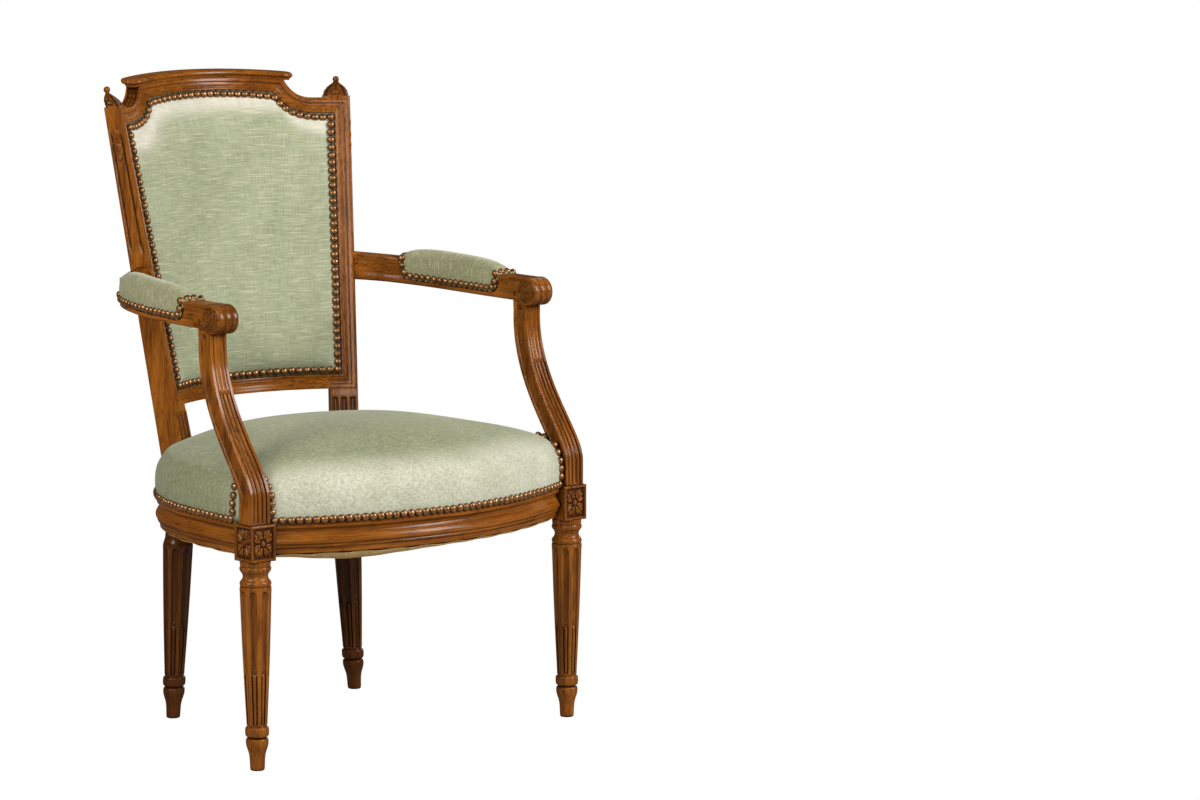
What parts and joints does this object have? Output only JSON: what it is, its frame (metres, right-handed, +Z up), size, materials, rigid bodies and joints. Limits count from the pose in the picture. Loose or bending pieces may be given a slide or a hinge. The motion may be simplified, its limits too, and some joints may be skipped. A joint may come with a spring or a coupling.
{
  "type": "upholstered open armchair",
  "caption": "Open armchair with a curved, raked padded back, scooped crest, padded arms on swept supports, bow-fronted seat and turned fluted legs.",
  "frame": {"origin": "centre of the overall box at floor level, midway between the arms", "axes": "+Z up from the floor, +X to the sitter's left, -Y the way the sitter faces"},
  "size_m": [0.5938, 0.6252, 0.9232],
  "materials": {
    "carved_wood": "waxed",
    "velvet": "worn pile",
    "linen_and_webbing": "plain weave"
  },
  "bodies": {
    "root": {"front_leg_left": "carved_wood", "front_leg_right": "carved_wood", "rear_post_left": "carved_wood", "rear_post_right": "carved_wood", "front_seat_rail": "carved_wood", "side_seat_rail_left": "carved_wood", "side_seat_rail_right": "carved_wood", "rear_seat_rail": "carved_wood", "lower_back_rail": "carved_wood", "crest_rail": "carved_wood", "arm_left": "carved_wood", "arm_right": "carved_wood", "arm_console_left": "carved_wood", "arm_console_right": "carved_wood", "front_corner_block_left": "carved_wood", "front_corner_block_right": "carved_wood", "rear_corner_block_left": "carved_wood", "rear_corner_block_right": "carved_wood", "arm_pad_left": "velvet", "arm_pad_right": "velvet", "seat_cushion": "velvet", "back_pad": "velvet", "outside_back": "velvet", "seat_webbing": "linen_and_webbing", "dust_cover": "linen_and_webbing", "back_webbing": "linen_and_webbing"}
  },
  "joints": []
}
